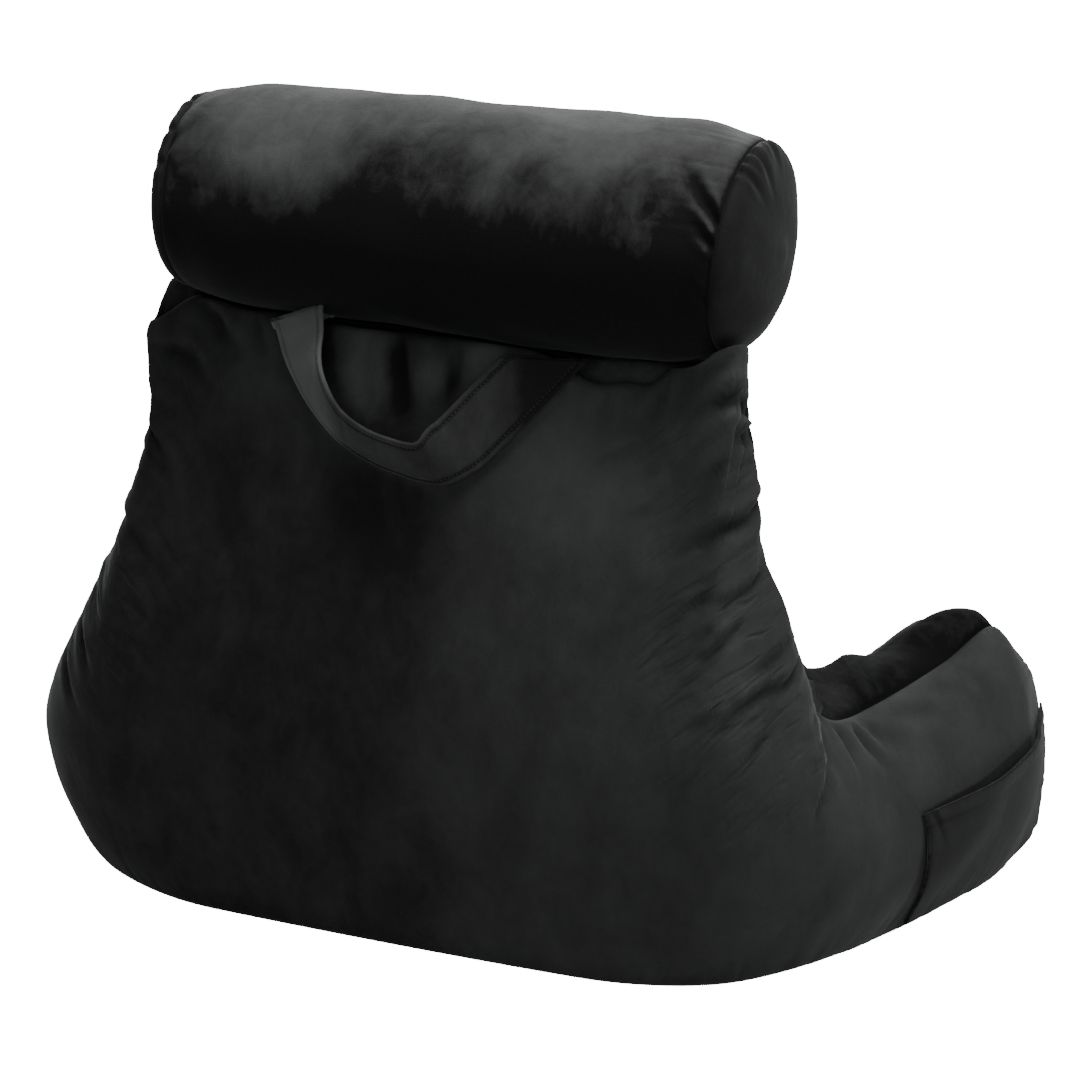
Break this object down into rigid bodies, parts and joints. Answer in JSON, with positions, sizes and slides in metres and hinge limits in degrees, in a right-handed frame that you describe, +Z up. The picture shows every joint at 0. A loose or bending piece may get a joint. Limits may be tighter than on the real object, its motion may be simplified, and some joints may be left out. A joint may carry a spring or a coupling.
{
  "type": "reading pillow with arms",
  "caption": "Stuffed bed-rest pillow with a tall tapered back, two forward arms, a neck roll along its top, a carry strap behind and a patch pocket on one arm.",
  "frame": {"origin": "on the flat base, under the middle of the back", "axes": "+Z up, +X across the back towards the plain arm, -Y the way the sitter faces"},
  "size_m": [0.7618, 0.411, 0.6105],
  "materials": {
    "body_velour": "short brushed pile",
    "roll_velour": "short brushed pile",
    "handle_velour": "short brushed pile, topstitched",
    "pocket_velour": "short brushed pile"
  },
  "bodies": {
    "root": {"body_cushion": "body_velour", "neck_roll": "roll_velour", "carry_handle": "handle_velour", "side_pocket": "pocket_velour"}
  },
  "joints": []
}
